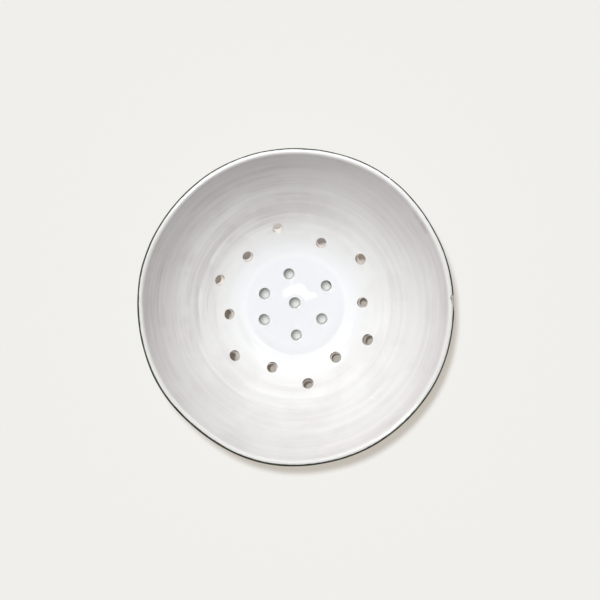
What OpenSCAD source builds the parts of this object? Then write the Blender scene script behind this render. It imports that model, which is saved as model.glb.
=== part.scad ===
// Berry colander bowl: a thrown clay bowl, pierced with drain holes and standing on a foot ring,
// under a white glaze, with a dark line brushed round its lip.
// Millimetres, +Z up, with the origin on the table under the middle of the bowl.

/* [Bowl] */
// Outside diameter over the lip
rim_d = 200; // [170:1:240]
// Height from the table to the top of the lip
bowl_h = 80; // [66:1:110]
// Diameter of the level floor, inside the crease where the wall leaves it
floor_d = 71; // [60:1:76]
// Thickness of the floor, glaze included
floor_t = 6; // [5:0.1:8]
// Thickness of the lip, glaze included
lip_t = 4.2; // [3.4:0.1:6]
// Steepness of the wall where it leaves the floor
heel_angle = 10; // [4:1:14]
// Steepness of the wall where it meets the lip
lip_angle = 75; // [66:1:82]
// How far towards the lip the wall holds on to its steepness at the floor
heel_share = 0.5; // [0.4:0.05:0.6]
// How far down towards the floor the wall holds on to its steepness at the lip
flare_share = 0.5; // [0.4:0.05:0.6]

/* [Throwing rings] */
// Distance from one finger ring to the next, up the wall
ring_pitch = 8.5; // [6:0.1:14]
// Height of the finger rings on the inside, from hollow to crest
inside_ring_h = 0.25; // [0.1:0.05:0.6]
// Height of the finger rings on the outside, from hollow to crest
outside_ring_h = 0.3; // [0.1:0.05:0.6]

/* [Drain holes] */
// Diameter of a drain hole, glazed
hole_d = 7; // [5:0.1:8.5]
// Distance of the inner ring of holes from the middle
inner_ring_r = 22; // [18:0.1:23]
// Distance of the middle ring of holes from the middle
middle_ring_r = 44.7; // [43:0.1:47]
// Distance of the outer ring of holes from the middle
outer_ring_r = 52.9; // [50:0.1:60]

/* [Foot ring] */
// Outside diameter of the foot ring where it meets the bowl, glaze included
foot_d = 74; // [72:1:77]
// Clear height between the table and the floor's underside
foot_h = 7; // [5:0.1:10]
// Width of the foot ring where it meets the bowl, glaze included
foot_w = 6.5; // [5.5:0.1:8]
// Width of the bare sole that stands on the table, before its edges are eased
sole_w = 4.5; // [3.5:0.1:5.5]
// How far the foot ring's outside leans in towards the sole
foot_lean = 1.2; // [0.4:0.1:2]
// Height of the bare clay above the table, wiped clean of glaze
bare_h = 2; // [1:0.1:3]
// Width of a drain notch through the foot ring, at the table
notch_w = 8; // [5:0.1:9.5]
// Number of drain notches
notch_count = 3; // [2:1:5]

/* [Glaze] */
// Thickness of the white glaze
glaze_t = 0.5; // [0.3:0.05:0.7]

/* [Rim line] */
// How far the line climbs over the lip, in degrees from its widest point
line_climb = 55; // [30:1:80]
// How far the line runs down the outside, below the middle of the lip
line_drop = 2; // [1:0.1:6]

/* [Hidden] */
$fn = 96;

clay_colour = [0.74, 0.68, 0.6];
glaze_colour = [0.93, 0.93, 0.92];
hole_colour = [0.86, 0.86, 0.85];
line_colour = [0.2, 0.23, 0.18];

// The holes are pierced by hand, so each strays a little from its ring.
// A share multiplies the ring's own distance, and a bearing is in degrees, anticlockwise from +X.
centre_shares = [0.11];
centre_bearings = [107];
inner_shares = [1.01, 1.12, 0.88, 0.88, 1.05, 1.03];
inner_bearings = [102, 34, 334, 271, 203, 158];
middle_shares = [1.02, 1, 0.97, 0.98, 1, 1.03];
middle_bearings = [68, 3, 308, 249, 187, 134];
outer_shares = [1.01, 1.01, 1, 0.985, 0.99, 1.01];
outer_bearings = [103, 36, 335, 279, 219, 161];

// Drain notches are turned away from straight ahead.
notch_bearing = 30;
// How much of the glaze's thickness the mouths of the holes are eased by
mouth_ease_share = 0.7;
// How much of the bare height the sole's edges are eased by
sole_ease_share = 0.3;
// How deep the foot ring's outline runs into the wall over it, before the bowl is cut from it
foot_root_share = 0.5;
// How far a cutter runs past what it cuts
overrun = 1;
// Points that draw one finger ring, the lip on either side of the line's edge, and the line's outside
ring_steps = 6;
lip_steps = 7;
line_steps = 3;
// Halvings that find a place on the wall
solve_steps = 30;

rim_r = rim_d / 2;
floor_r = floor_d / 2;
foot_r = foot_d / 2;
hole_r = hole_d / 2;
lip_r = lip_t / 2;
clay_hole_r = hole_r + glaze_t;
mouth_ease = mouth_ease_share * glaze_t;
sole_ease = sole_ease_share * bare_h;
floor_z = foot_h + floor_t;
lip_centre = [rim_r - lip_r, bowl_h - lip_r];
lip_start = 90 + lip_angle;
lip_end = lip_angle - 90;

// The inside of the wall is one curve, nearly level at the floor's crease and steep where it meets the lip.
function polar(r, a) = r * [cos(a), sin(a)];
function mix(a, b, t) = a + (b - a) * t;
wall_start = [floor_r, floor_z];
wall_end = lip_centre + polar(lip_r, lip_start);
wall_rise = wall_end[1] - wall_start[1];
wall_reach = wall_end[0] - wall_start[0];
heel_handle = wall_start + polar(heel_share * wall_reach, heel_angle);
flare_handle = wall_end - polar(flare_share * wall_rise / sin(lip_angle), lip_angle);

function wall_curve(t) =
    pow(1 - t, 3) * wall_start + 3 * pow(1 - t, 2) * t * heel_handle
    + 3 * (1 - t) * pow(t, 2) * flare_handle + pow(t, 3) * wall_end;
function wall_heading(t) =
    pow(1 - t, 2) * (heel_handle - wall_start) + 2 * (1 - t) * t * (flare_handle - heel_handle)
    + pow(t, 2) * (wall_end - flare_handle);
function wall_slope(t) = atan2(wall_heading(t)[1], wall_heading(t)[0]);
function wall_thickness(t) = mix(floor_t, lip_t, t);

// The length of the wall sets how many finger rings it carries.
function steps(n) = [for (i = [0 : n]) i / n];
function length_of(points) = len(points) < 2 ? 0
    : norm(points[1] - points[0]) + length_of([for (i = [1 : 1 : len(points) - 1]) points[i]]);
wall_length = length_of([for (t = steps(ring_steps)) wall_curve(t)]);
ring_count = max(1, round(wall_length / ring_pitch));
wall_steps = [for (i = [1 : ring_count * ring_steps]) i / (ring_count * ring_steps)];
// Finger rings are waves across the wall that fade out at the floor and at the lip.
function wave(t) = sin(180 * t) * cos(360 * ring_count * t) / 2;

// Points of the bowl's two faces, at a depth below the glaze, with the crease mitred at any depth
function crease(depth) = [floor_r + depth * tan(heel_angle / 2), floor_z - depth];
function inside_point(t, depth) =
    wall_curve(t) + polar(inside_ring_h * wave(t) - depth, 90 + wall_slope(t));
function outside_point(t, depth) =
    wall_curve(t) - polar(wall_thickness(t) + outside_ring_h * wave(t) - depth, 90 + wall_slope(t));
function lip_points(from, to, depth, n) =
    [for (s = steps(n)) lip_centre + polar(lip_r - depth, mix(from, to, s))];
function reversed(list) = [for (i = [len(list) - 1 : -1 : 0]) list[i]];
function inner(list) = [for (i = [1 : 1 : len(list) - 2]) list[i]];

// Where along the wall the curve reaches a distance from the middle (axis 0) or a height (axis 1)
function wall_at(target, axis, low = 0, high = 1, n = solve_steps) =
    let (middle = (low + high) / 2)
    n == 0 ? middle
    : wall_curve(middle)[axis] < target ? wall_at(target, axis, middle, high, n - 1)
    : wall_at(target, axis, low, middle, n - 1);

// Steps up the wall's outside, below the line's lower edge and beside the line
line_end = wall_at(lip_centre[1] - line_drop, 1);
below_line = concat([for (t = wall_steps) if (t < line_end) t], [line_end]);
beside_line = [for (s = steps(line_steps)) mix(line_end, 1, s)];
outside_steps = concat(below_line, [for (i = [1 : line_steps]) beside_line[i]]);

// The bowl's half section, without its foot ring, at a depth below the glaze
module bowl_section(depth) {
    polygon(concat(
        [[0, floor_z - depth], crease(depth)],
        [for (t = wall_steps) inside_point(t, depth)],
        inner(lip_points(lip_start, line_climb, depth, lip_steps)),
        lip_points(line_climb, lip_end, depth, lip_steps),
        [for (i = [len(outside_steps) - 2 : -1 : 0]) outside_point(outside_steps[i], depth)],
        [crease(floor_t - depth), [0, foot_h + depth]]
    ));
}

// Where the wall stands over the foot ring's outside, and the height in it that the ring runs up to
foot_seat = wall_at(foot_r, 0);
foot_top_z = mix(outside_point(foot_seat, 0)[1], inside_point(foot_seat, 0)[1], foot_root_share);
function foot_outside(z) = foot_r - foot_lean * (1 - z / foot_h);
function foot_inside(z) = mix(foot_r - foot_lean - sole_w, foot_r - foot_w, z / foot_h);

// The foot ring's half section above a height, at a depth below the glaze, with its lower edges eased
module foot_section(depth, from_z, ease) {
    polygon([
        [foot_inside(from_z) + depth + ease, from_z],
        [foot_outside(from_z) - depth - ease, from_z],
        [foot_outside(from_z + ease) - depth, from_z + ease],
        [foot_outside(foot_top_z) - depth, foot_top_z],
        [foot_inside(foot_top_z) + depth, foot_top_z],
        [foot_inside(from_z + ease) + depth, from_z + ease]
    ]);
}

// One place per drain hole: its distance from the middle and its bearing
function ring_places(r, shares, bearings) = [for (i = [0 : len(shares) - 1]) [r * shares[i], bearings[i]]];
hole_places = concat(
    ring_places(inner_ring_r, centre_shares, centre_bearings),
    ring_places(inner_ring_r, inner_shares, inner_bearings),
    ring_places(middle_ring_r, middle_shares, middle_bearings),
    ring_places(outer_ring_r, outer_shares, outer_bearings)
);

// Puts its children at every drain hole, with Z square out of the bowl's inside, and $thickness set
module at_holes() {
    for (place = hole_places) {
        on_floor = place[0] < floor_r;
        t = on_floor ? 0 : wall_at(place[0], 0);
        $thickness = wall_thickness(t);
        rotate([0, 0, place[1]])
            translate([place[0], 0, inside_point(t, 0)[1]])
                rotate([0, on_floor ? 0 : -wall_slope(t), 0])
                    children();
    }
}

// A plain round cutter through the wall
module hole_cutter(r) {
    translate([0, 0, -$thickness - overrun])
        cylinder(r = r, h = $thickness + 2 * overrun);
}

// The glazed bore, with both of its mouths eased
module bore_cutter() {
    mouth_r = hole_r + mouth_ease;
    rotate_extrude()
        polygon([
            [0, -$thickness - 2 * overrun],
            [mouth_r, -$thickness - 2 * overrun],
            [mouth_r, -$thickness],
            [hole_r, -$thickness + mouth_ease],
            [hole_r, -mouth_ease],
            [mouth_r, 0],
            [mouth_r, 2 * overrun],
            [0, 2 * overrun]
        ]);
}

// Half-round arches that let water out from under the floor
module notch_cutters() {
    for (i = [0 : notch_count - 1])
        rotate([0, 0, notch_bearing + 360 * i / notch_count])
            rotate([0, 90, 0])
                cylinder(d = notch_w, h = foot_r + overrun);
}

// Thrown clay: floor, wall and lip, pierced wide enough for the glaze that lines the holes
module clay_bowl() {
    color(clay_colour)
        difference() {
            rotate_extrude() bowl_section(glaze_t);
            at_holes() hole_cutter(clay_hole_r);
        }
}

// Turned clay ring under the bowl, with its sole bare and notched for drainage
module foot_ring() {
    color(clay_colour)
        difference() {
            rotate_extrude()
                difference() {
                    foot_section(glaze_t, 0, sole_ease);
                    bowl_section(glaze_t);
                }
            notch_cutters();
            at_holes() hole_cutter(clay_hole_r);
        }
}

// Glaze over the floor and the wall's inside, up and over the lip as far as the line
module inside_glaze() {
    color(glaze_colour)
        difference() {
            rotate_extrude()
                polygon(concat(
                    [[0, floor_z], crease(0)],
                    [for (t = wall_steps) inside_point(t, 0)],
                    inner(lip_points(lip_start, line_climb, 0, lip_steps)),
                    [lip_centre + polar(lip_r, line_climb)],
                    [lip_centre + polar(lip_r - glaze_t, line_climb)],
                    inner(lip_points(line_climb, lip_start, glaze_t, lip_steps)),
                    [for (t = reversed(wall_steps)) inside_point(t, glaze_t)],
                    [crease(glaze_t), [0, floor_z - glaze_t]]
                ));
            at_holes() hole_cutter(clay_hole_r);
        }
}

// Glaze from the line down the wall's outside, over the foot ring's sides and the floor's underside
module outside_glaze() {
    color(glaze_colour)
        difference() {
            rotate_extrude() {
                difference() {
                    polygon(concat(
                        [[0, foot_h], crease(floor_t)],
                        [for (t = below_line) outside_point(t, 0)],
                        [for (t = reversed(below_line)) outside_point(t, glaze_t)],
                        [crease(floor_t - glaze_t), [0, foot_h + glaze_t]]
                    ));
                    foot_section(glaze_t, 0, sole_ease);
                }
                difference() {
                    foot_section(0, bare_h, 0);
                    foot_section(glaze_t, 0, sole_ease);
                    bowl_section(glaze_t);
                }
            }
            notch_cutters();
            at_holes() hole_cutter(clay_hole_r);
        }
}

// Glaze that lines each drain hole, from the bowl's inside face to its outside face
module drain_hole_glaze() {
    color(hole_colour)
        difference() {
            intersection() {
                rotate_extrude() bowl_section(0);
                at_holes() hole_cutter(clay_hole_r);
            }
            at_holes() bore_cutter();
        }
}

// Dark oxide brushed on the wiped shoulder of the lip
module rim_line() {
    color(line_colour)
        rotate_extrude()
            polygon(concat(
                lip_points(line_climb, lip_end, 0, lip_steps),
                [for (i = [line_steps - 1 : -1 : 0]) outside_point(beside_line[i], 0)],
                [for (i = [0 : line_steps - 1]) outside_point(beside_line[i], glaze_t)],
                lip_points(lip_end, line_climb, glaze_t, lip_steps)
            ));
}

clay_bowl();
foot_ring();
inside_glaze();
outside_glaze();
drain_hole_glaze();
rim_line();
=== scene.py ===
import math
from functools import cached_property

import bmesh
import bpy
import numpy as np
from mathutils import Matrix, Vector
from mathutils.geometry import delaunay_2d_cdt


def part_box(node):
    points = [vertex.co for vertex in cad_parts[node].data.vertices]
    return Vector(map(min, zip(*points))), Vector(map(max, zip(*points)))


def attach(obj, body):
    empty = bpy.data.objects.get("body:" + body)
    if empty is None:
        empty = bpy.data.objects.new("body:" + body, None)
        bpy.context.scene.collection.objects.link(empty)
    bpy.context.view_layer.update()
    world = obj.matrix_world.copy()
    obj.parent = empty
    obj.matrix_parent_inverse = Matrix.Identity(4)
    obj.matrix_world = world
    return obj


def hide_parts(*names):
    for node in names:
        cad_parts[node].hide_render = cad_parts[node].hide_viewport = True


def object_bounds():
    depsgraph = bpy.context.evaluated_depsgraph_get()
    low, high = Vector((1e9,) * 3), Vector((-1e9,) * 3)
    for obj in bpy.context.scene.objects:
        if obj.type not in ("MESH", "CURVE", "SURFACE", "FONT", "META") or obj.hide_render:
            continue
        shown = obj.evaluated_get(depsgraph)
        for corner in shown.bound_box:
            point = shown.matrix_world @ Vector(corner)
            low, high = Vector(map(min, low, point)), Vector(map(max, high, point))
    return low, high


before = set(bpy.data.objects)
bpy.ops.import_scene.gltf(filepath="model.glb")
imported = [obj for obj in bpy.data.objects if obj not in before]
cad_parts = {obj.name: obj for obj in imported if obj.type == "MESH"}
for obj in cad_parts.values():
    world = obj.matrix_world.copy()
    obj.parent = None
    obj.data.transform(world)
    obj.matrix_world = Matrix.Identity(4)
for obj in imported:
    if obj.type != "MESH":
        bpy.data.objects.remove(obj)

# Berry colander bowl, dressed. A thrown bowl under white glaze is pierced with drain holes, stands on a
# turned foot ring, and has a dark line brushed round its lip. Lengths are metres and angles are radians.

cad_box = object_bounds()
MM = 0.001
DEG = math.radians(1)
TURN = math.tau

# Sizes that the frame gives
glaze_t = 0.5 * MM
rim_r = round(cad_box[1].y, 4)
bowl_h = round(cad_box[1].z, 4)
floor_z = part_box("inside_glaze")[0].z + glaze_t
foot_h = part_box("clay_bowl")[0].z - glaze_t
floor_t = floor_z - foot_h

# The wall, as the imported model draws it
crease_r = 36.3 * MM
crease_ease = 1.1 * MM
lip_t = 4.2 * MM
heel_angle = 10 * DEG
lip_angle = 75 * DEG
curve_share = 0.5
lip_r = lip_t / 2
lip_centre = np.array([rim_r - lip_r, bowl_h - lip_r])

# Drain holes. A ring has its distance from the axis, and for each hole the share of that at which it lies
# and its bearing in degrees from +X. The first hole is the middle one.
hole_r = 3.62 * MM
hole_r_shares = (0.97, 1.04)
hole_oval = 0.025
hole_taper = 0.3 * MM
hole_lean = 0.42 * MM
hole_lean_bearing = 130 * DEG
rings = [
    (22 * MM, [0.11, 1.01, 1.12, 0.88, 0.88, 1.05, 1.03], [107, 102, 34, 334, 271, 203, 158]),
    (44.7 * MM, [1.02, 1, 0.97, 0.98, 1, 1.03], [68, 3, 308, 249, 187, 134]),
    (52.9 * MM, [1.01, 1.01, 1, 0.985, 0.99, 1.01], [103, 36, 335, 279, 219, 161]),
]
mouth_ease = 0.3 * MM
mouth_depth = 0.45 * MM
back_ease = 0.5 * MM
back_edge = back_ease - hole_taper

# The bead of glaze round a hole: its height, its distance from the bore, its width and where it ends
bead_h = 0.07 * MM
bead_off = 0.9 * MM
bead_w = 0.6 * MM
bead_end = 4 * MM

# Painted shade on the edge of a hole's mouth, on its side that faces away from the light: rows of its wall,
# how dark each is, and from where to where across it, in shares of its radius, the shade fades in
shade_rows = [0, 3, 4, 7]
shade_shares = [0, 1, 1, 0]
shade_side = (-0.9, 0.7)

# The shallow dish in the middle of the floor, with a low crown in it: distances from the axis, and heights
dish_r = [0, 7.2 * MM, 8.2 * MM, 16.5 * MM]
dish_h = [0.03 * MM, -0.056 * MM, -0.056 * MM, 0]

# Faint ledges that the throwing left on the floor: bearing, half turn, distance from the axis, width, slope
ledges = [
    (229 * DEG, 26 * DEG, 33.7 * MM, 1.3 * MM, 0.0395),
    (229 * DEG, 7 * DEG, 26.5 * MM, 2 * MM, 0.031),
    (252 * DEG, 2.5 * DEG, 27.8 * MM, 1.6 * MM, 0.032),
    (26 * DEG, 10 * DEG, 14.6 * MM, 3 * MM, 0.009),
]
ledge_tail = 2.5

# Finger rings, which stray and fade in patches, and slow lumps. A pair is for the floor and for the wall.
finger_spacing = 8.5 * MM
finger_stray = 0.9
finger_stray_size = 60 * MM
finger_strength = 0.75
finger_swing = 0.45
finger_patch_size = 45 * MM
finger_h_inside = (0, 0.1 * MM)
finger_h_outside = (0.02 * MM, 0.15 * MM)
lump_size = 22 * MM
lump_h = (0.01 * MM, 0.05 * MM)
calm_r = 22 * MM
wall_band = (34 * MM, 52 * MM)
lip_fade = 12 * MM

# The foot ring
foot_r = 37 * MM
foot_w = 6.5 * MM
foot_lean = 1.2 * MM
sole_w = 4.5 * MM
sole_ease = 0.7 * MM
bare_h = 2 * MM
notch_w = 8 * MM
notch_bearings = np.array([30, 150, 270]) * DEG
fillet_h = 2.6 * MM
fillet_reach = 3.2 * MM

# Lumps of the glaze's edge on the foot ring, and of its sides: height and size in millimetres, and a seed
foot_edge_lumps = [(0.3, 14, 21), (0.12, 4, 22)]
foot_lumps = [(0.08, 18, 23)]

# The glaze's rolled edge on the foot ring: share of its depth left off, millimetres over the bare clay,
# bareness
glaze_roll = [(1, -0.5, 1), (0.95, -0.12, 1), (0.55, 0, 0), (0.1, 0.12, 0)]
glaze_roll += [(-0.12, 0.45, 0), (-0.1, 0.8, 0), (0, 1.3, 0)]

# The rim line: its thickness, its depth in the glaze, how far it runs down outside, its width from above and
# where that is widest, the lumps of its edges as height and size in millimetres and a seed, where it starts
# on the lip, the brush's gap in it, and how it is sunk and is lost on the flake
line_t = 0.05 * MM
line_root = 0.6 * MM
line_drop = 2 * MM
line_w = 1.09 * MM
line_w_swing = 0.3 * MM
line_w_least = 0.12 * MM
line_w_lumps = [(0.07, 16, 31), (0.05, 5, 32)]
line_drop_lumps = [(0.35, 20, 33), (0.2, 5, 34)]
line_wide_bearing = 253 * DEG
line_start = 5.7 * DEG
line_gap_bearing = 53.7 * DEG
line_gap = 0.35 * DEG
line_gap_depth = 0.03 * MM
line_sunk = 0.02 * MM
line_lost = 0.4 * MM
line_lost_at = 0.12 * MM

# How the bowl strays from round: waves round the rim, as count, size and bearing of a crest
rim_shrink = 0.61 * MM
rim_waves = [(1, 0.26, -20), (2, 0.28, -71), (3, 0.21, 46), (4, 0.14, -21)]
rim_waves += [(5, 0.15, -23), (7, 0.16, 5), (8, 0.1, -18), (9, 0.11, 13)]
rise_waves = [(1, 0.1, 200), (2, 0.18, 65), (3, 0.1, -20)]
rise_share = 0.6
stray_power = 1.3

# The flake off the lip: bearings of its thin end, its widest place and its blunt end, how far it reaches as
# angles on the lip, its depth, and how ragged its edge is
chip_bearings = np.array([-1.3, 3.3, 4.15]) * DEG
chip_reach = np.array([-6, 24, 102]) * DEG
chip_blunt_share = 0.7
chip_depth = 0.55 * MM
chip_slope = 0.8
chip_ragged = 0.22 * MM
chip_lump = 2.2 * MM

# Patches that make the wall's glaze darker, partly where the brush left it thin and partly as painted shade,
# or whiter at a strength below nothing, partly where it lies thickly and partly as painted light: bearing
# and half turn in degrees, distance from the axis and half width in millimetres, strength
brush_and_shade_patches = [
    (216, 36, 38.6, 4.6, 0.42),
    (122, 75, 64, 11, 0.7),
    (95, 34, 72, 7, 0.35),
    (192, 34, 93, 6, 0.6),
    (-25, 56, 94, 4, 0.3),
    (136, 26, 93, 5, -0.4),
    (-14, 24, 90, 9, 0.25),
    (262, 45, 72, 12, 0.08),
    (46, 26, 76, 20, 0.2),
    (31.7, 3.4, 94.4, 1.7, 0.85),
    (272, 50, 54, 9, 0.3),
    (108, 36, 89.6, 1.5, 0.6),
    (176, 18, 89.4, 2.4, 0.5),
    (152, 36, 74, 1.8, -0.6),
    (163, 32, 63.2, 1.9, -0.6),
    (222, 28, 68, 1.5, -0.35),
    (300, 34, 82, 1.6, -0.3),
]

# Mesh spacing
path_steps = 400
ease_steps = 12
arc_steps = 60
up_rows = 38
lip_rows = 27
down_rows = 36
face_spacing = 1.35 * MM
ring_twist = 2.4
crease_rows = np.linspace(-2, 2.4, 12) * MM
crease_points = 380
ledge_rows = np.linspace(-0.75, 1.5, 10)
ledge_spacing = 0.6 * MM
mouth_points = 40
mouth_rings = np.array([0.4, 0.9, 1.6, 2.5, 3.6]) * MM
inside_join = 65.5 * MM
outside_join = 66.5 * MM
bowl_columns = 300
line_columns = 900
foot_plain_columns = 200
chip_spacing = 0.12 * DEG
chip_margin = 0.5 * DEG
chip_clear = 0.3 * DEG
notch_steps = 23
notch_overlap = 1.004
notch_clear = 1.12


# Number helpers

def mix(a, b, t):
    return a + (b - a) * t


def smooth(low, high, x):
    """0 below low, 1 above high, and a smooth step between them."""
    t = np.clip((x - low) / (high - low), 0, 1)
    return t * t * (3 - 2 * t)


def bump(centre, width, x):
    """A smooth hump of height 1."""
    return np.exp(-((x - centre) / width) ** 2)


def polar(r, angle):
    return np.array([r * math.cos(angle), r * math.sin(angle)])


def turn_off(angle, bearing=0):
    """How far an angle is from a bearing, the short way round."""
    return (angle - bearing + math.pi) % TURN - math.pi


def round_axis(r, angles, *heights):
    """Rows of points at distances from the axis and at bearings, with heights if they are given."""
    return np.stack([r * np.cos(angles), r * np.sin(angles), *heights], 1)


def from_above(points):
    """Distances of points from the axis, and their bearings."""
    return np.hypot(points[:, 0], points[:, 1]), np.arctan2(points[:, 1], points[:, 0])


def bezier(points, t):
    """Points of a Bezier curve at the steps t."""
    rows = [np.outer(np.ones_like(t), p) for p in points]
    while len(rows) > 1:
        rows = [mix(a, b, t[:, None]) for a, b in zip(rows, rows[1:])]
    return rows[0]


def lumps(points, size, seed, waves=14):
    """A seeded, slowly varying value, about -1 to 1, with features of that size."""
    crest = 1.6 * math.sqrt(waves / 2)
    chance = np.random.default_rng(seed)
    total = np.zeros(len(points))
    for _ in range(waves):
        heading = chance.normal(size=points.shape[1])
        heading *= TURN / (size * chance.uniform(0.7, 1.6)) / np.linalg.norm(heading)
        total += np.sin(points @ heading + chance.uniform(0, TURN))
    return total / crest


def layered(points, layers):
    """Lumps over lumps, from rows of a height and a size in millimetres, and a seed."""
    return sum(height * MM * lumps(points, size * MM, seed) for height, size, seed in layers)


# The section's path, from the axis out over the floor, up the wall, round the lip and back underneath

wall_start = np.array([crease_r, floor_z])
wall_end = lip_centre + polar(lip_r, math.pi / 2 + lip_angle)
wall_reach, wall_rise = wall_end - wall_start
wall_handles = [
    wall_start,
    wall_start + polar(curve_share * wall_reach, heel_angle),
    wall_end - polar(curve_share * wall_rise / math.sin(lip_angle), lip_angle),
    wall_end,
]
wall_steps = np.linspace(0, 1, path_steps)


def lengths_along(path):
    """The length of a path from its start to each of its points."""
    return np.concatenate([[0], np.cumsum(np.linalg.norm(np.diff(path, axis=0), axis=1))])


def left_of(path):
    """Unit normals on the left of a path's heading."""
    heading = np.gradient(path, lengths_along(path), axis=0)
    normals = np.stack([-heading[:, 1], heading[:, 0]], 1)
    return normals / np.linalg.norm(normals, axis=1)[:, None]


def floor_to_lip(depth):
    """A face of the bowl at a share of the way through it, with its crease eased: 0 is inside, 1 outside."""
    wall = bezier(wall_handles, wall_steps)
    thickness = mix(floor_t, lip_t, wall_steps)[:, None]
    wall = wall - left_of(wall) * thickness * depth
    level = floor_z - floor_t * depth
    corner = np.array([crease_r + floor_t * depth * math.tan(heel_angle / 2), level])
    far = np.linalg.norm(wall - corner, axis=1) > crease_ease
    wall = wall[far & (wall[:, 0] > corner[0])]
    eased = bezier([corner - [crease_ease, 0], corner, wall[0]], np.linspace(0, 1, ease_steps)[:-1])
    floor_r = np.linspace(0, eased[0][0], arc_steps)[:-1]
    floor = np.stack([floor_r, np.full(len(floor_r), level)], 1)
    return np.concatenate([floor, eased, wall])


def lip_arc():
    """The round top of the lip, from the inside face to the outside face."""
    angles = np.linspace(math.pi / 2 + lip_angle, lip_angle - math.pi / 2, arc_steps)[1:-1]
    return lip_centre + round_axis(lip_r, angles)


inside_face = floor_to_lip(0)
outside_face = floor_to_lip(1)
path = np.concatenate([inside_face, lip_arc(), outside_face[::-1]])
path_along = lengths_along(path)
path_normals = left_of(path)
path_length = path_along[-1]
lip_from = path_along[len(inside_face) - 1]
lip_to = path_along[-len(outside_face)]


def path_at(along):
    """Distance from the axis, height, and the normal's two parts, at lengths along the path."""
    values = np.concatenate([path, path_normals], 1)
    return np.stack([np.interp(along, path_along, column) for column in values.T], 1)


def lip_place(angle):
    """The length along the path at an angle on the lip, from straight out to straight up."""
    return lip_from + (math.pi / 2 + lip_angle - angle) * lip_r


def spin(along, angles):
    """Points and normals of the unshaped skin, at lengths along the path and bearings round the axis."""
    r, z, out, up = path_at(along).T
    points, normals = round_axis(r, angles, z), round_axis(out, angles, up)
    return points, normals / np.linalg.norm(normals, axis=1)[:, None]


# Drain holes

def flat_vector(length, bearing):
    return np.array([*polar(length, bearing), 0])


class Hole:
    """A drain hole: where its axis meets the inside face, and its three directions."""

    def __init__(self, distance, bearing, chance):
        inside_along = path_along[:len(inside_face)]
        r, z, out, up = path_at([np.interp(distance, inside_face[:, 0], inside_along)])[0]
        radial = flat_vector(1, bearing)
        self.centre = radial * r + [0, 0, z]
        self.axis = radial * out + [0, 0, up]
        self.across = np.array([-math.sin(bearing), math.cos(bearing), 0])
        self.uphill = np.cross(self.across, self.axis)
        self.lean = flat_vector(hole_lean, hole_lean_bearing) / floor_t
        self.r = hole_r * chance.uniform(*hole_r_shares)
        self.oval = chance.uniform(0, hole_oval)
        self.oval_bearing = chance.uniform(0, TURN)

    def bore(self, angles):
        """The hole's radius at angles round its axis."""
        return self.r * (1 + self.oval * np.cos(2 * (angles - self.oval_bearing)))

    def ring(self, offset, heights):
        """A ring of points at an offset from the bore and at heights over the centre."""
        angles = np.arange(mouth_points) * TURN / mouth_points
        reach = (self.bore(angles) + offset)[:, None]
        spread = np.outer(np.cos(angles), self.uphill) + np.outer(np.sin(angles), self.across)
        return self.centre + reach * spread + np.outer(heights, self.axis - self.lean)

    def heights(self, offset, face):
        """How far along the axis a ring lies on a face of the bowl."""
        heights = np.zeros(mouth_points)
        for _ in range(25):
            points = self.ring(offset, heights)
            r, _ = from_above(points)
            heights -= (points[:, 2] - np.interp(r, face[:, 0], face[:, 1])) * self.axis[2]
        return heights

    def reach(self, points):
        """Distance of points from the leaning bore's edge, square to the hole's axis."""
        away = points - self.centre
        away = away + np.outer(away @ self.axis, self.lean)
        x, y = away @ self.uphill, away @ self.across
        return np.hypot(x, y) - self.bore(np.arctan2(y, x))


def make_holes():
    chance = np.random.default_rng(seed=7)
    return [
        Hole(distance * share, bearing * DEG, chance)
        for distance, shares, bearings in rings
        for share, bearing in zip(shares, bearings)
    ]


holes = make_holes()


# Relief of the skin: finger rings, the floor's dish and ledges, the beads of glaze round the holes

def relief(points, along):
    """How far the skin stands out from its plain path."""
    _, angles = from_above(points)
    inside = along < (lip_from + lip_to) / 2
    from_axis = np.where(inside, along, path_length - along)
    stray = finger_stray * lumps(points, finger_stray_size, seed=3)
    spiral = np.sin(TURN * from_axis / finger_spacing - angles + stray)
    strength = finger_strength + finger_swing * lumps(points, finger_patch_size, seed=5)
    wall_share = smooth(*wall_band, from_axis)
    near_lip = np.minimum(abs(along - lip_from), abs(along - lip_to))
    off_lip = np.where((along > lip_from) & (along < lip_to), 0, 1)
    height = np.where(inside, mix(*finger_h_inside, wall_share), mix(*finger_h_outside, wall_share))
    total = height * spiral * strength * smooth(0, lip_fade, near_lip) * off_lip
    slow = mix(*lump_h, wall_share) * lumps(points, lump_size, seed=11)
    total += slow * smooth(calm_r, wall_band[0], from_axis)
    total += np.interp(from_axis, dish_r, dish_h) * inside
    for bearing, half_turn, distance, width, slope in ledges:
        turned = turn_off(angles, bearing)
        ends = [-width / 2, width / 2, ledge_tail * width]
        rise = np.interp(from_axis - distance, ends, [0, slope * width, 0])
        total += rise * inside * bump(0, half_turn, turned)
    for hole in holes:
        reach = hole.reach(points) + np.where(inside, 0, hole_taper)
        total += bead_h * bump(bead_off, bead_w, reach) * (reach < bead_end)
    return total


def settle(points):
    """Leaves the bowl a little out of round: not at all at the floor, and fully at the lip."""
    r, angles = from_above(points)
    share = np.clip((points[:, 2] - floor_z) / (bowl_h - floor_z), 0, 1) ** stray_power
    wide = sum(size * MM * np.cos(n * (angles - b * DEG)) for n, size, b in rim_waves)
    tall = sum(size * MM * (np.cos(n * (angles - b * DEG)) - 1) for n, size, b in rise_waves)
    scale = 1 + share * (wide - rim_shrink) / np.maximum(r, MM)
    rise = share * tall * rise_share
    return np.stack([points[:, 0] * scale, points[:, 1] * scale, points[:, 2] + rise], 1)


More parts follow.
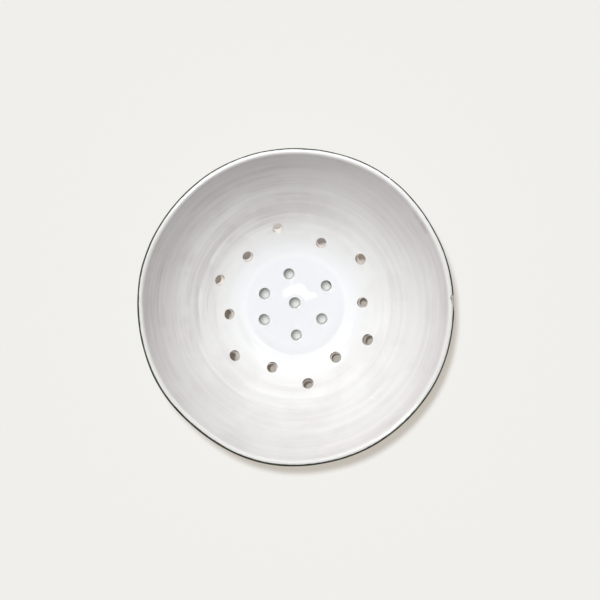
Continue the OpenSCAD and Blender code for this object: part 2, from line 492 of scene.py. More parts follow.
def chip(along, angles):
    """How deep the flake off the lip is: a flat scar with steep sides, wide at one end."""
    turned = turn_off(angles)
    thin, widest, blunt = chip_bearings
    low, narrow, wide = chip_reach
    inner = np.interp(turned, [thin, widest, blunt], [narrow, wide, mix(narrow, wide, chip_blunt_share)])
    along, turned, inner = np.broadcast_arrays(along, turned, inner)
    ragged = chip_ragged * lumps(np.stack([along, turned * rim_r], 1), chip_lump, seed=41)
    sides = [along - lip_place(inner), lip_place(low) - along]
    ends = [(turned - thin) * rim_r, (blunt - turned) * rim_r]
    return np.clip(chip_slope * (np.min(sides + ends, axis=0) + ragged), 0, chip_depth)


# Mesh building

def link_new(name, data):
    """Puts an object made of a mesh, a lamp or a camera in the scene."""
    made = bpy.data.objects.new(name, data)
    bpy.context.scene.collection.objects.link(made)
    return made


class Skin:
    """Points and faces, gathered piece by piece. Each point has its length along the path and two marks."""

    def __init__(self):
        self.points = []
        self.values = {"along": [], "mark": [], "flake": []}
        self.faces = []
        self.count = 0

    def add(self, points, along, mark=0, flake=0):
        """Adds points and returns their numbers. The mark is for a hole's wall, where above 1 it carries the
        painted shade of the mouth's edge, or for the foot's bare clay.
        """
        first = self.count
        self.points.append(points)
        for rows, value in zip(self.values.values(), (along, mark, flake)):
            rows.append(np.broadcast_to(value, len(points)))
        self.count += len(points)
        return np.arange(first, self.count)

    def bridge(self, a, b):
        """Joins two closed rows of the same length with quads."""
        for i in range(len(a)):
            j = (i + 1) % len(a)
            self.faces.append((a[i], b[i], b[j], a[j]))

    def chain(self, rows):
        for a, b in zip(rows, rows[1:]):
            self.bridge(a, b)

    def build(self, name):
        """Makes the mesh object, settled out of round, with its faces turned outward."""
        mesh = bpy.data.meshes.new(name)
        points = settle(np.concatenate(self.points))
        mesh.from_pydata(points.tolist(), [], [tuple(map(int, face)) for face in self.faces])
        work = bmesh.new()
        work.from_mesh(mesh)
        bmesh.ops.recalc_face_normals(work, faces=work.faces)
        work.to_mesh(mesh)
        work.free()
        mesh.shade_smooth()
        for kept, rows in self.values.items():
            values = mesh.attributes.new(kept, "FLOAT", "POINT")
            values.data.foreach_set("value", np.concatenate(rows).astype(np.float32))
        return link_new(name, mesh)


def column_angles(count):
    """Bearings of the columns of a turn, closer together at the chip."""
    coarse = np.arange(count) * TURN / count
    fine = np.arange(chip_bearings[0] - chip_margin, chip_bearings[2] + chip_margin, chip_spacing)
    away = (coarse < TURN + fine[0] - chip_clear) & (coarse > fine[-1] + chip_clear)
    return np.sort(np.concatenate([coarse[away], fine % TURN]))


def shaped(along, angles, proud=0):
    """Points of the finished skin, or of what stands proud of it."""
    points, normals = spin(along, angles)
    out = relief(points, along) - chip(along, angles) + proud
    return points + normals * out[:, None]


def plain_rings(join, inside):
    """Rings of points across a face, as path lengths and bearings, without those at the inside crease."""
    found = [(np.zeros(1), np.zeros(1))]
    count = int(join / face_spacing)
    for k in range(1, count):
        n = max(6, round(TURN * k))
        r = join * k / count
        at_crease = crease_rows[0] < r - crease_r < crease_rows[-1]
        if not (inside and at_crease):
            found.append((np.full(n, r), (np.arange(n) / n * TURN + k * ring_twist) % TURN))
    return found


def inside_rings():
    """Closer rows of points along the crease and across the ledges, as path lengths and bearings."""
    found = []
    for k, off in enumerate(crease_rows):
        shift = k % 2 / 2
        bearings = (np.arange(crease_points) + shift) / crease_points * TURN
        found.append((np.full(crease_points, crease_r + off), bearings))
    for bearing, half_turn, distance, width, _ in ledges:
        for r in distance + width * ledge_rows:
            n = round(4 * half_turn * r / ledge_spacing)
            found.append((np.full(n, r), (bearing + np.linspace(-2, 2, n) * half_turn) % TURN))
    return found


def loose_points(join, inside, ease):
    """Path lengths and bearings of the points across a face, away from the holes."""
    found = plain_rings(join, inside) + (inside_rings() if inside else [])
    from_axis, bearings = [np.concatenate(column) for column in zip(*found)]
    points, _ = spin(from_axis if inside else path_length - from_axis, bearings)
    keep_off = ease + mouth_rings[-1] + 0.75 * face_spacing
    clear = np.min([hole.reach(points) for hole in holes], axis=0) > keep_off
    return from_axis[clear], bearings[clear]


def fill(from_axis, angles, mouths, edge):
    """Triangles between points of a face, out to its edge, but none that would close a hole's mouth."""
    flat = round_axis(from_axis, angles) / MM
    links = [(int(row[i - 1]), int(row[i])) for row in mouths + [edge] for i in range(len(row))]
    found = delaunay_2d_cdt([Vector(p) for p in flat], links, [], 0, 1e-6)
    origins = [ids[0] for ids in found[3]]
    owner = np.full(len(from_axis), -1)
    for k, row in enumerate(mouths):
        owner[row] = k
    triangles = [[origins[v] for v in triangle] for triangle in found[2]]
    return [corners for corners in triangles if min(owner[corners]) < 0 or len(set(owner[corners])) > 1]


def pierced_face(skin, face, inside, join, columns, ease):
    """Fills a face out to its join with the wall's columns, and returns that edge and the holes' mouths."""
    lengths = lengths_along(face)
    rows = [loose_points(join, inside, ease)]
    mouths, mouth_heights = [], []
    for hole in holes:
        mouths.append(sum(len(bearings) for _, bearings in rows) + np.arange(mouth_points))
        mouth_heights.append(hole.heights(ease, face))
        for offset in [ease, *(ease + mouth_rings)]:
            r, bearings = from_above(hole.ring(offset, hole.heights(offset, face)))
            rows.append((np.interp(r, face[:, 0], lengths), bearings))
    rows.append((np.full(len(columns), join), columns))
    from_axis, angles = [np.concatenate(column) for column in zip(*rows)]
    edge = np.arange(len(angles) - len(columns), len(angles))
    along = from_axis if inside else path_length - from_axis
    numbers = skin.add(shaped(along, angles), along)
    skin.faces += [tuple(numbers[corners]) for corners in fill(from_axis, angles, mouths, edge)]
    return numbers[edge], [numbers[row] for row in mouths], mouth_heights


def wall_hole(skin, hole, top, bottom, top_heights, bottom_heights):
    """Rows of a hole's tapered wall, from its mouth inside the bowl to its mouth outside."""
    points = np.concatenate(skin.points)
    along = np.concatenate(skin.values["along"])
    top_push = points[top] - hole.ring(mouth_ease, top_heights)
    bottom_push = points[bottom] - hole.ring(back_edge, bottom_heights)
    turns = np.linspace(0, math.pi / 2, 6)[1:]
    high = top_heights - mouth_depth
    low = bottom_heights + back_ease
    rows = [(mouth_ease * (1 - math.sin(b)), high + mouth_depth * math.cos(b)) for b in turns]
    rows += [(-hole_taper * share, mix(high, low, share)) for share in (0.25, 0.5, 0.75)]
    rows += [(back_edge - back_ease * math.sin(b), low - back_ease * math.cos(b)) for b in turns[::-1]]
    made = [top]
    for k, (offset, heights) in enumerate(rows):
        share = (k + 1) / (len(rows) + 1)
        row = hole.ring(offset, heights) + mix(top_push, bottom_push, smooth(0, 1, share))
        sideways = (row - hole.centre) @ flat_vector(1 / hole.r, hole_lean_bearing)
        # Painted shade on the mouth's edge, on the side that faces away from the light
        dark = np.interp(k, shade_rows, shade_shares) * smooth(*shade_side, sideways)
        made.append(skin.add(row, mix(along[top], along[bottom], share), 1 + dark))
    skin.chain(made + [bottom])


def make_bowl():
    """The glazed bowl: floor, wall and lip, pierced right through."""
    skin = Skin()
    columns = column_angles(bowl_columns)
    inner, tops, top_heights = pierced_face(skin, inside_face, True, inside_join, columns, mouth_ease)
    outer, bottoms, low_heights = pierced_face(skin, outside_face, False, outside_join, columns, back_edge)
    up = np.linspace(inside_join, lip_from, up_rows)[1:-1]
    over = np.linspace(lip_from, lip_to, lip_rows)
    down = np.linspace(lip_to, path_length - outside_join, down_rows)[1:-1]
    rows = [inner]
    for along in np.concatenate([up, over, down]):
        scar = chip(along, columns) / chip_depth
        rows.append(skin.add(shaped(np.full(len(columns), along), columns), along, flake=scar))
    skin.chain(rows + [outer])
    for parts in zip(holes, tops, bottoms, top_heights, low_heights):
        wall_hole(skin, *parts)
    return skin.build("glazed_bowl")


# The foot ring

def foot_side(z, outer):
    """The foot ring's own side at a height, glazed: its outside or its inside."""
    share = z / foot_h
    outside = foot_r - foot_lean * (1 - share)
    return outside if outer else mix(foot_r - foot_lean - sole_w, foot_r - foot_w, share)


def foot_rows(outer):
    """Distances from the axis, heights and bareness of the foot ring's side, from the sole up."""
    out = 1 if outer else -1
    clay = foot_side(0, outer) - out * glaze_t
    turns = np.linspace(0, math.pi / 2, 5)
    rows = [(clay - out * sole_ease * (1 - math.sin(a)), sole_ease * (1 - math.cos(a)), 1) for a in turns]
    for inset, rise, bare in glaze_roll:
        z = bare_h + rise * MM
        rows.append((foot_side(max(z, bare_h), outer) - out * glaze_t * inset, z, bare))
    low = foot_h - fillet_h
    spread = foot_side(foot_h, outer) + out * fillet_reach
    under = float(np.interp(spread, outside_face[:, 0], outside_face[:, 1]))
    start = [foot_side(low, outer), low]
    corner = [foot_side(foot_h, outer), foot_h + (0.35 * MM if outer else 0)]
    fillet = bezier([start, corner, [spread, under + 0.25 * MM]], np.linspace(0, 1, 9))
    rows += [(r, z, 0) for r, z in fillet]
    rows.append((spread - out * 1.5 * MM, under + 1.2 * MM, 0))
    return rows


def arch(bearings):
    """How high the drain notches lift the sole at bearings."""
    off = bearings[:, None] - notch_bearings
    across = (foot_r - foot_w / 2) * np.sin(off)
    rise = np.sqrt(np.maximum(0, (notch_w / 2) ** 2 - across ** 2))
    return np.max(rise * (np.cos(off) > 0), axis=1)


def foot_columns():
    """Bearings of the foot ring's columns, closer together across each notch."""
    plain = np.arange(foot_plain_columns) * TURN / foot_plain_columns
    reach = math.asin(notch_w / 2 / (foot_r - foot_w / 2))
    steps = reach * notch_overlap * np.sin(np.linspace(-1.57, 1.57, notch_steps))
    fine = [(notch + step) % TURN for notch in notch_bearings for step in steps]
    away = [a for a in plain if min(abs(turn_off(a, notch_bearings))) > reach * notch_clear]
    return np.sort(np.array(away + fine))


def make_foot():
    """The turned foot ring: bare clay sole with drain notches, glaze from just above it."""
    skin = Skin()
    columns = foot_columns()
    outer, inner = foot_rows(True), foot_rows(False)
    sole = [(mix(inner[0][0], outer[0][0], share), 0, 1) for share in (0.3, 0.7)]
    loop = outer[::-1] + sole[::-1] + inner
    lifts = arch(columns)
    around = round_axis(foot_r, columns)
    waver = layered(around, foot_edge_lumps)
    rows = []
    for r, z, bare in loop:
        heights = z + waver * bump(bare_h + 0.2 * MM, 1.1 * MM, z)
        heights = np.maximum(heights, 0) + lifts * np.clip(1 - heights / (foot_h * 0.93), 0, 1)
        places = round_axis(foot_r, columns, np.full(len(columns), z))
        wobble = layered(places, foot_lumps)
        ring = r + wobble * (z < foot_h - 2 * MM)
        rows.append(skin.add(round_axis(ring, columns, heights), z, bare))
    skin.chain(rows + rows[:1])
    return skin.build("foot_ring_turned")


# The rim line

def line_edges(angles):
    """Where the line's upper and lower edges run, as lengths along the path, brushed unevenly by hand."""
    around = round_axis(rim_r, angles)
    seen = line_w + line_w_swing * np.cos(angles - line_wide_bearing) + layered(around, line_w_lumps)
    climb = line_start + np.arccos(1 - np.maximum(seen, line_w_least) / lip_r)
    return lip_place(climb), lip_to + line_drop + layered(around, line_drop_lumps)


def make_line():
    """The dark line: a thin closed band on the lip's shoulder, lost where the lip is chipped."""
    skin = Skin()
    angles = column_angles(line_columns)
    upper, lower = line_edges(angles)
    gap = bump(line_gap_bearing, line_gap, angles)
    rows = []
    shares = np.concatenate([np.linspace(0, 0.12, 3), np.linspace(0.2, 0.8, 7), np.linspace(0.88, 1, 3)])
    for share in shares:
        along = mix(upper, lower, share)
        lost = smooth(0, line_lost_at, chip(along, angles))
        proud = line_t * (1 - (2 * share - 1) ** 8) - line_sunk - lost * line_lost - gap * line_gap_depth
        rows.append(skin.add(shaped(along, angles, proud), along))
    for share in (0.95, 0.5, 0.05):
        along = mix(upper, lower, share)
        rows.append(skin.add(shaped(along, angles, -line_root), along))
    skin.chain(rows + rows[:1])
    return skin.build("brushed_rim_line")


# Materials

def srgb(r, g, b):
    """A colour given in the 0 to 255 steps of a screen, as linear light."""
    steps = [c / 255 for c in (r, g, b)]
    return (*[c / 12.92 if c < 0.04045 else ((c + 0.055) / 1.055) ** 2.4 for c in steps], 1)


# Colours of the glaze
glaze_white = srgb(244, 244, 243)
glaze_thin = srgb(217, 212, 213)
# Warm glaze towards the lip, also laid on the back wall as painted shade
warm_glaze_and_shade = srgb(221, 211, 208)
# Pooled glaze, whiter, partly as painted light
pooled_glaze_and_light = srgb(245, 246, 249)
# Painted shade and light on the floor: darker at the front and along its front edge, paler at the back
floor_front_shade = srgb(237, 238, 242)
floor_back_light = srgb(243, 244, 249)
floor_edge_shade = srgb(234, 235, 238)
# Painted shade on the lip's front and a painted highlight on its back
lip_front_shade = srgb(234, 233, 231)
lip_back_highlight = srgb(252, 252, 252)
# Glaze in the holes, painted lit and shaded, and painted grey shade in the floor holes
bore_lit = srgb(250, 246, 243)
bore_shaded = srgb(212, 206, 200)
bore_floor_shade = srgb(214, 214, 211)
# Painted shade on the holes' mouths, in the floor and in the wall
shade_edge_floor = srgb(84, 84, 78)
shade_edge_wall = srgb(124, 108, 98)
# The flake's bare clay, with painted shade along its broken edge
scar_edge_shade = srgb(104, 100, 92)
scar_clay = srgb(200, 202, 193)
glaze_ior = 1.5

# Streaks in the glaze: how many to a turn, how wide, how detailed
fine_lines = (4, 2.9 * MM, 3)
broad_bands = (1.5, 7 * MM, 2)
short_marks = (11, 2.3 * MM, 3)
marks_size = 24 * MM
clouds_size = 30 * MM

# Bearings towards which the glaze's marks and its painted light, shade and highlights change
marks_bearing = 152 * DEG
light_and_shade_bearing = 105 * DEG
lip_highlight_bearing = 85 * DEG
bore_shade_bearing = 307 * DEG


class Finish:
    """A material's node tree, written a node at a time."""

    def __init__(self, name):
        self.material = bpy.data.materials.new(name)
        self.material.use_nodes = True
        self.tree = self.material.node_tree
        self.tree.nodes.clear()
        self.output = self.tree.nodes.new("ShaderNodeOutputMaterial")

    def node(self, kind, result, inputs, **settings):
        """Adds a node, and returns its output named result."""
        made = self.tree.nodes.new("ShaderNode" + kind)
        for key, value in settings.items():
            setattr(made, key, value)
        for key, value in inputs.items():
            if isinstance(value, bpy.types.NodeSocket):
                self.tree.links.new(value, made.inputs[key])
            else:
                made.inputs[key].default_value = value
        return made.outputs[result]

    @cached_property
    def here(self):
        return self.node("TexCoord", "Object", {})

    @cached_property
    def level(self):
        """Places on the object, at no height."""
        return self.vector("MULTIPLY", self.here, (1, 1, 0))

    @cached_property
    def around(self):
        """Directions round the axis, as a unit vector."""
        return self.vector("NORMALIZE", self.level)

    @cached_property
    def distance(self):
        return self.vector("LENGTH", self.level)

    @cached_property
    def along(self):
        return self.attribute("along")

    def math(self, operation, a, b=0, clamp=False):
        return self.node("Math", 0, {0: a, 1: b}, operation=operation, use_clamp=clamp)

    def vector(self, operation, a, b=(0, 0, 0)):
        result = "Value" if operation in ("LENGTH", "DISTANCE", "DOT_PRODUCT") else "Vector"
        return self.node("VectorMath", result, {0: a, 1: b}, operation=operation)

    def times(self, a, b):
        return self.math("MULTIPLY", a, b)

    def scale(self, a, factor):
        return self.node("VectorMath", "Vector", {0: a, "Scale": factor}, operation="SCALE")

    def ramp(self, value, low, high, to_low=0, to_high=1):
        """A smooth step from to_low at low to to_high at high."""
        inputs = {"Value": value, "From Min": low, "From Max": high, "To Min": to_low, "To Max": to_high}
        return self.node("MapRange", "Result", inputs, interpolation_type="SMOOTHSTEP")

    def towards(self, place, bearing):
        """How far a place or a direction lies towards a bearing."""
        return self.vector("DOT_PRODUCT", place, (*polar(1, bearing), 0))

    def facing(self, bearing, low=-1, high=1, to_low=0, to_high=1):
        """A smooth step round the axis, over cosines of the way off a bearing."""
        return self.ramp(self.towards(self.around, bearing), low, high, to_low, to_high)

    def by_distance(self, low, high, to_low=0, to_high=1):
        """A smooth step over a band of distances from the axis, in millimetres."""
        return self.ramp(self.distance, low * MM, high * MM, to_low, to_high)

    def noise(self, size, detail=2, roughness=0.5, place=None):
        """Cloudy values from 0 to 1 with features of that size."""
        inputs = {"Vector": place or self.here, "Scale": 1 / size, "Detail": detail, "Roughness": roughness}
        return self.node("TexNoise", 0, inputs)

    def streaks(self, turns, width, detail=2):
        """Cloudy values drawn out into arcs round the axis: about so many to a turn, and so wide."""
        lifted = self.node("CombineXYZ", 0, {"Z": self.math("DIVIDE", self.along, width)})
        spread = self.scale(self.around, turns / TURN)
        return self.noise(1, detail, place=self.vector("ADD", spread, lifted))

    def mix(self, share, a, b):
        return self.node("Mix", 2, {0: share, 6: a, 7: b}, data_type="RGBA")

    def attribute(self, name):
        return self.node("Attribute", "Fac", {}, attribute_name=name)

    def bump(self, height, distance, **under):
        """A normal bent by a height, over another if that is given as Normal."""
        return self.node("Bump", "Normal", {"Height": height, "Distance": distance, **under})

    def coat(self, inputs):
        return self.surface(self.node("BsdfPrincipled", 0, inputs))

    def sheet(self, glow, colour):
        """The material of a sheet of the stage: an even glow, and what light falls on it."""
        steady = self.node("Emission", 0, {"Color": glow, "Strength": 1})
        lit = self.node("BsdfDiffuse", 0, {"Color": colour})
        return self.surface(self.node("AddShader", 0, {0: steady, 1: lit}))

    def surface(self, shader):
        """Ends the tree in a shader, and returns the material."""
        self.tree.links.new(shader, self.output.inputs["Surface"])
        return self.material


def brush_and_shade_marks(skin):
    """How much darker soft patches round the wall make its glaze: partly glaze the brush left thin, partly
    painted shade.
    """
    total = 0
    for bearing, half_turn, middle, half_width, strength in brush_and_shade_patches:
        end, full = math.cos(half_turn * DEG), math.cos(0.3 * half_turn * DEG)
        sideways = skin.facing(bearing * DEG, end, full, 0, strength)
        off = skin.math("ABSOLUTE", skin.math("SUBTRACT", skin.distance, middle * MM))
        total = skin.math("ADD", total, skin.times(sideways, skin.ramp(off, half_width * MM, 0)))
    return total


def thin_glaze_and_shade(skin, lines, patches):
    """How thin the glaze is, from 0 to 1, by the brush, the throwing lines, and chance, with the patches'
    painted shade in it.
    """
    bands = skin.ramp(skin.streaks(*broad_bands), 0.4, 0.7, 0, 0.12)
    marks = skin.ramp(skin.streaks(*short_marks), 0.44, 0.62, 0, 0.44)
    marks = skin.times(marks, skin.facing(marks_bearing, 0, 0.9))
    marks = skin.times(marks, skin.ramp(skin.noise(marks_size), 0.42, 0.6))
    parts = [
        (patches, skin.ramp(lines, 0, 1, 0.62, 1)),
        (lines, skin.by_distance(48, 72, 0.02, 0.15)),
        (bands, skin.by_distance(34, 55)),
        (marks, skin.by_distance(46, 62)),
    ]
    total = 0
    for share, strength in parts:
        total = skin.math("ADD", total, skin.times(share, strength))
    clouds = skin.ramp(skin.noise(clouds_size, 3, 0.6), 0.4, 0.7, 0, 0.24)
    return skin.math("ADD", total, clouds, True)


def floor_colour(skin):
    """The floor's glaze, bluish and a little darker than the wall, partly pooled glaze and partly painted
    reflection and shade, paler at the back as painted light and darker along its front edge as painted
    shade.
    """
    back = skin.towards(skin.here, light_and_shade_bearing)
    colour = skin.mix(skin.ramp(back, -32 * MM, 32 * MM), floor_front_shade, floor_back_light)
    # Painted shade along the floor's front edge
    front_edge = skin.times(skin.by_distance(26, 31), skin.ramp(back, 0, -27 * MM))
    return skin.mix(front_edge, colour, floor_edge_shade)


def wall_colour(skin, lines):
    """The wall's glaze: darker where it is thin and where patches paint shade, warmer towards the lip and
    most on the back wall, where the warmth is painted shade, and whiter where it pools, partly as painted
    light.
    """
    patches = brush_and_shade_marks(skin)
    warmth_and_shade = skin.by_distance(62, 96, 0, 0.42)
    # Painted shade: the warmth is strongest on the back wall, which is turned from the light
    warmth_and_shade = skin.times(warmth_and_shade, skin.facing(light_and_shade_bearing, -0.5, 0.5, 0.3))
    pool = skin.by_distance(32, 56, 1, 0)
    pool = skin.times(pool, skin.math("SUBTRACT", 1, patches, True))
    colour = skin.mix(thin_glaze_and_shade(skin, lines, patches), glaze_white, glaze_thin)
    colour = skin.mix(warmth_and_shade, colour, warm_glaze_and_shade)
    return skin.mix(pool, colour, pooled_glaze_and_light)


def hole_colours_and_shade(skin):
    """The glaze in the holes, with painted shade: grey in the floor holes, and darker in the outer holes
    towards one bearing; and the painted shade along their mouths' edges.
    """
    off_floor = skin.by_distance(34, 42)
    outer = skin.mix(skin.facing(bore_shade_bearing), bore_lit, bore_shaded)
    wall = skin.mix(skin.by_distance(48, 51), bore_lit, outer)
    return skin.mix(off_floor, bore_floor_shade, wall), skin.mix(off_floor, shade_edge_floor, shade_edge_wall)


def white_glaze():
    """Glossy white tin glaze, bluish on the floor where it pools and partly as painted reflection, thin and
    warm towards the lip, with painted light and shade on the floor, wall, lip, holes and flake.
    """
    skin = Finish("white_glaze")
    lines = skin.ramp(skin.streaks(*fine_lines), 0.4, 0.6, 1, 0)
    colour = skin.mix(skin.by_distance(31.6, 33.6, 1, 0), wall_colour(skin, lines), floor_colour(skin))
    # A painted highlight along the lip's inner top, white at the back, with painted shade at the front
    lip = skin.ramp(skin.along, lip_place(132 * DEG), lip_place(96 * DEG))
    colour = skin.mix(lip, colour, skin.mix(skin.facing(lip_highlight_bearing, 0.1, 0.95), lip_front_shade, lip_back_highlight))
    depth = skin.attribute("mark")
    in_hole = skin.ramp(depth, 0.3, 1)
    bore, edge = hole_colours_and_shade(skin)
    colour = skin.mix(in_hole, colour, bore)
    # Painted shade along the shaded side of the holes' mouths
    colour = skin.mix(skin.ramp(depth, 1, 2, 0, 0.9), colour, edge)
    flake = skin.attribute("flake")
    # The flake's bare clay, with painted shade along its broken edge
    scar = skin.mix(skin.ramp(flake, 0.35, 0.75), scar_edge_shade, scar_clay)
    colour = skin.mix(skin.ramp(flake, 0.02, 0.2), colour, scar)
    roughness = skin.ramp(skin.noise(7 * MM, 3), 0.3, 0.7, 0.03, 0.09)
    pitted = skin.times(skin.noise(2.2 * MM), skin.by_distance(30, 50, 0.3))
    furrows = skin.times(lines, skin.by_distance(38, 56))
    return skin.coat({
        "Base Color": colour,
        "Roughness": skin.times(roughness, skin.by_distance(20, 34, 0.4)),
        "Specular IOR Level": skin.ramp(skin.math("MAXIMUM", in_hole, flake), 0, 1, 0.5, 0.05),
        "Normal": skin.bump(furrows, 0.005 * MM, Normal=skin.bump(pitted, 0.004 * MM)),
        "IOR": glaze_ior,
    })


oxide_green = srgb(40, 58, 34)
oxide_black = srgb(26, 26, 20)
oxide_dry = srgb(66, 74, 54)
# The way along which the line turns from green to black, partly the oxide's own colour and partly painted
# shade
line_shade_side = (0.8, -0.6, 0)


def dark_oxide():
    """Green-black iron and copper oxide, thin and olive where the brush ran dry, greener towards the upper
    left and blacker towards the lower right, partly as painted shade.
    """
    finish = Finish("dark_oxide")
    dry = finish.ramp(finish.noise(9 * MM, 4, 0.6), 0.42, 0.72)
    # Blacker towards the lower right, partly the oxide's own colour and partly painted shade
    side = finish.ramp(finish.vector("DOT_PRODUCT", finish.here, line_shade_side), -85 * MM, 20 * MM)
    oxide_and_shade = finish.mix(side, oxide_green, oxide_black)
    grain = finish.noise(0.7 * MM, 3, 0.6)
    return finish.coat({
        "Base Color": finish.mix(dry, oxide_and_shade, oxide_dry),
        "Roughness": finish.ramp(grain, 0.3, 0.7, 0.5, 0.75),
        "Specular IOR Level": 0.25,
        "Normal": finish.bump(grain, 0.03 * MM),
    })


clay_pale = srgb(196, 176, 150)
clay_grog = srgb(172, 148, 120)
clay_stain = srgb(150, 122, 96)
foot_glaze = srgb(240, 240, 242)
foot_glaze_thin = srgb(228, 222, 216)


def foot_finish():
    """Glaze on the foot ring's sides, and buff fired clay on its wiped sole and in the notches."""
    finish = Finish("foot_clay_and_glaze")
    bare = finish.ramp(finish.attribute("mark"), 0.35, 0.65)
    grog = finish.noise(0.9 * MM, 4, 0.65)
    stain = finish.noise(11 * MM, 3)
    clay = finish.mix(finish.ramp(grog, 0.35, 0.7), clay_pale, clay_grog)
    clay = finish.mix(finish.ramp(stain, 0.45, 0.75, 0, 0.6), clay, clay_stain)
    glaze = finish.mix(finish.ramp(stain, 0.4, 0.7), foot_glaze, foot_glaze_thin)
    return finish.coat({
        "Base Color": finish.mix(bare, glaze, clay),
        "Roughness": finish.math("ADD", finish.times(bare, 0.65), 0.12),
        "Normal": finish.bump(finish.times(grog, bare), 0.12 * MM),
        "IOR": glaze_ior,
    })


# Stage, light and camera. A lamp's level of 1 lights a white sheet square to it to plain white.

key_tilt = 11.5 * DEG
key_bearing = 130 * DEG
key_level = 0.4
key_spread = 3.6 * DEG
key_colour = (0.95, 0.985, 1)
neutral = (1, 1, 1)
warm = (1, 0.985, 0.965)
sheet_key_level = 6
card_key_tilt = 8 * DEG
card_key_spread = 24 * DEG
near_lamp_tilt = 4.8 * DEG
near_lamp_bearing = 119 * DEG
near_lamp_h = 1.05
near_lamp_r = 30 * MM
near_lamp = (*polar(near_lamp_h * math.tan(near_lamp_tilt), near_lamp_bearing), near_lamp_h)

# Weak lamps from the sides, and from below for what a pale table returns: tilt and bearing in degrees, level
low_lamps = [
    ("low_right", 70, 60, 0.1),
    ("low_back", 45, 90, 0.09),
    ("low_left", 70, 120, 0.16),
    ("low_side", 70, 180, 0.13),
]
rising_lamps = [
    ("below", 180, 0, 0.14),
    ("below_right", 108, 330, 0.14),
    ("below_back", 108, 90, 0.05),
    ("below_left", 108, 230, 0.08),
]
low_spread = 40 * DEG
rising_spread = 50 * DEG

# Single lamps: tilt, bearing, a sun's level and spread or a panel's distance, size and radiance, colour
overhead = (0, 0, 0.12, 60 * DEG, warm)
softbox = (21 * DEG, 99.5 * DEG, 1.06, (0.72, 0.42), 2.6, warm)
back_fill = (50 * DEG, 315 * DEG, 0.035, low_spread, warm)
catch = (0.27 * DEG, 118 * DEG, 1, (0.0145, 0.0125), 12.5, neutral)

# The paper in linear light: its colour, what the key light gives it, out in the open and under the bowl, and
# the shares of the rest that are left under the bowl as painted shade, and on its top side there as painted
# light
paper = srgb(240, 239, 235)
key_on_paper = (0.335, 0.366, 0.390)
key_under_bowl = (0.29, 0.28, 0.26)
shade_under_bowl = (0.6, 0.55, 0.5)
light_under_top = (1.28, 1.26, 1.36)
top_bearing = 100 * DEG
card_glow = (0.075, 0.077, 0.070)
key_on_card = (0.72, 0.725, 0.71)

sheet_points = 96
table_r = 4.2
table_middle_r = 75 * MM
card_r = 28 * MM
card_h = 0.1 * MM
shelter_reach = 15 * MM

# The camera, straight above the bowl and nearly over its middle
camera_place = (2.8 * MM, 4.2 * MM, 0.95)
camera_lens = 83.65
camera_sensor = 36


def tinted(colour, shares):
    return (*[part * share for part, share in zip(colour, shares)], 1)


def paper_glow(finish):
    """What the paper shows without its key light: its own colour, with painted shade under the bowl, lighter
    towards the top side and darkest under the outer holes at the front, dimmed near the bowl by ambient
    occlusion.
    """
    ambient = [whole - key for whole, key in zip(paper, key_on_paper)]
    shades = tinted(ambient, shade_under_bowl), tinted(ambient, light_under_top)
    shade = finish.mix(finish.facing(top_bearing, 0.6, 1.1), *shades)
    deep = finish.times(finish.facing(top_bearing, 0.5, -0.2), finish.by_distance(48, 54, 0, 0.44))
    shade = finish.mix(deep, shade, (0, 0, 0, 1))
    glow = finish.mix(finish.by_distance(63, 88), shade, (*ambient, 1))
    shelter = finish.node("AmbientOcclusion", "AO", {"Distance": shelter_reach}, samples=6)
    return finish.scale(glow, shelter)


def paper_floor(name, near=False):
    """Pale paper, without its key light in the bowl's shadow. It can make up for a lamp that is near."""
    finish = Finish(name)
    level = sheet_key_level * math.cos(key_tilt)
    under, beyond = [tinted(parts, [1 / level] * 3) for parts in (key_under_bowl, key_on_paper)]
    colour = finish.mix(finish.by_distance(62, 70), under, beyond)
    if near:
        away = finish.math("DIVIDE", finish.vector("DISTANCE", finish.here, near_lamp), near_lamp_h)
        colour = finish.scale(colour, finish.math("POWER", away, 3))
    return finish.sheet(paper_glow(finish), colour)


def white_card():
    """Plain white card, dim but where the key light comes down on it through the holes."""
    finish = Finish("card")
    level = sheet_key_level * math.cos(card_key_tilt)
    return finish.sheet((*card_glow, 1), tinted(key_on_card, [1 / level] * 3))


def add_sheet(name, inner, outer, height, material):
    """A flat disc or ring of the stage."""
    n = sheet_points
    turns = np.arange(n) / n * TURN
    points = [(*polar(r, a), height) for r in ([outer, inner] if inner else [outer]) for a in turns]
    steps = [(i, (i + 1) % n) for i in range(n)]
    faces = [(i, j, n + j, n + i) for i, j in steps] if inner else [tuple(range(n))]
    mesh = bpy.data.meshes.new(name)
    mesh.from_pydata(points, [], faces)
    sheet = link_new(name, mesh)
    mesh.materials.append(material)
    return sheet


def make_stage():
    """The table, its middle under the bowl, and a card on it that shows through the middle holes."""
    table = add_sheet("table", table_middle_r, table_r, 0, paper_floor("paper", True))
    middle = add_sheet("table_middle", 0, table_middle_r, 0, paper_floor("paper_middle"))
    card = add_sheet("card", 0, card_r, card_h, white_card())
    return table, middle, card


def make_world():
    """A studio as pale as the paper where the camera or a reflection sees it. It gives no other light."""
    world = bpy.data.worlds.new("studio")
    bpy.context.scene.world = world
    world.use_nodes = True
    tree = world.node_tree
    backdrop = tree.nodes["Background"]
    rays = tree.nodes.new("ShaderNodeLightPath")
    seen = tree.nodes.new("ShaderNodeMath")
    seen.operation = "MAXIMUM"
    tree.links.new(rays.outputs["Is Camera Ray"], seen.inputs[0])
    tree.links.new(rays.outputs["Is Glossy Ray"], seen.inputs[1])
    tree.links.new(seen.outputs[0], backdrop.inputs["Strength"])
    backdrop.inputs["Color"].default_value = paper


def look_from(tilt, bearing):
    """The way to a lamp at a tilt off straight up, towards a bearing, and the turn that faces the bowl."""
    away = Vector((*polar(math.sin(tilt), bearing), math.cos(tilt)))
    return away, away.to_track_quat("Z", "Y").to_euler()


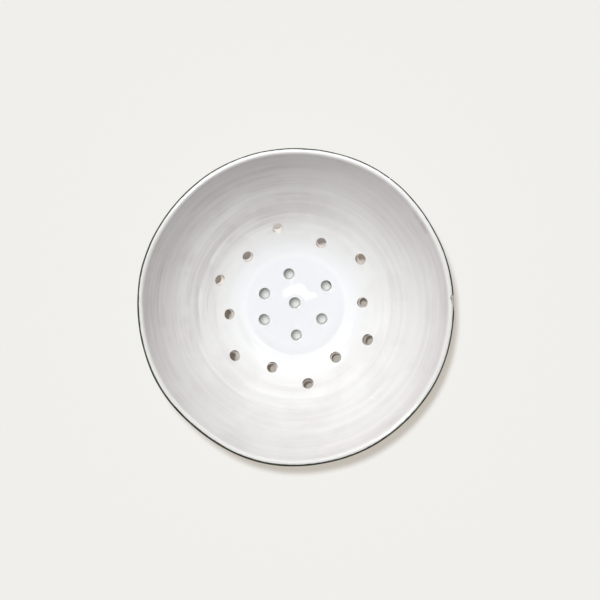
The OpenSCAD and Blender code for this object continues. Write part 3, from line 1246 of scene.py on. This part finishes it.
def add_lamp(name, kind, energy, place, turn=(0, 0, 0), colour=neutral, **settings):
    """A lamp at a place, turned and coloured, with its kind's own settings."""
    lamp = bpy.data.lights.new(name, kind)
    lamp.energy, lamp.color = energy, colour
    for key, value in settings.items():
        setattr(lamp, key, value)
    made = link_new(name, lamp)
    made.location, made.rotation_euler = place, turn
    return made


def add_sun(name, tilt, bearing, level, spread, colour):
    return add_lamp(name, "SUN", math.pi * level, *look_from(tilt, bearing), colour, angle=spread)


def add_fills(rows, spread):
    return [add_sun(name, tilt * DEG, turn * DEG, level, spread, warm) for name, tilt, turn, level in rows]


def add_panel(name, tilt, bearing, distance, size, radiance, colour):
    """A flat lamp of a width and height that faces the bowl, as bright as radiance times white paper."""
    away, turn = look_from(tilt, bearing)
    width, height = size
    energy = radiance * math.pi * width * height
    shape = {"shape": "RECTANGLE", "size": width, "size_y": height}
    return add_lamp(name, "AREA", energy, away * distance, turn, colour, **shape)


def add_bulb(name, place, radius, level):
    """A round lamp that lights a white sheet straight under it to a level."""
    return add_lamp(name, "POINT", (TURN * place[2]) ** 2 * level, place, shadow_soft_size=radius)


def make_lights(table, middle, card):
    """One key light for each sheet and one for the bowl, a soft box, fill lamps, and the catch light."""
    sheets = [table, middle, card]
    near_key = add_bulb("key_near", near_lamp, near_lamp_r, sheet_key_level * math.cos(key_tilt))
    middle_key = add_sun("key_on_paper", key_tilt, key_bearing, sheet_key_level, key_spread, neutral)
    card_key = add_sun("key_on_card", card_key_tilt, key_bearing, sheet_key_level, card_key_spread, neutral)
    bowl_lamps = [
        add_sun("key", key_tilt, key_bearing, key_level, key_spread, key_colour),
        add_sun("overhead", *overhead),
        add_panel("softbox", *softbox),
        add_sun("return", *back_fill),
        add_panel("catch", *catch),
    ]
    bowl_lamps += add_fills(low_lamps, low_spread)
    rising = add_fills(rising_lamps, rising_spread)
    link_lamps(rising, [table, middle], "EXCLUDE", "blocker_collection")
    link_lamps(rising, sheets, "EXCLUDE")
    for lamp, sheet in zip([near_key, middle_key, card_key], sheets):
        link_lamps([lamp], [sheet], "INCLUDE")
    link_lamps(bowl_lamps, sheets, "EXCLUDE")


def link_lamps(lamps, pieces, state, role="receiver_collection"):
    """Makes lamps light only some pieces or all but them, or does the same for what casts their shadows."""
    group = bpy.data.collections.new("_".join([role, pieces[0].name, state.lower()]))
    for piece in pieces:
        group.objects.link(piece)
    for member in group.collection_objects:
        member.light_linking.link_state = state
    for lamp in lamps:
        setattr(lamp.light_linking, role, group)


def make_camera():
    lens = bpy.data.cameras.new("camera")
    lens.sensor_fit = "HORIZONTAL"
    lens.sensor_width = camera_sensor
    lens.lens = camera_lens
    made = link_new("camera", lens)
    made.location = camera_place
    bpy.context.scene.camera = made


def dress(piece, material, slot, *nodes):
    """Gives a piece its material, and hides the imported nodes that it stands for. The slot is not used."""
    piece.data.materials.append(material)
    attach(piece, "root")
    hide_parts(*nodes)


bowl_nodes = ["clay_bowl", "inside_glaze", "outside_glaze", "drain_hole_glaze"]
dress(make_bowl(), white_glaze(), "white_glaze", *bowl_nodes)
dress(make_foot(), foot_finish(), "clay", "foot_ring")
dress(make_line(), dark_oxide(), "dark_line", "rim_line")
make_lights(*make_stage())
make_world()
make_camera()
bpy.context.scene.view_settings.view_transform = "Standard"
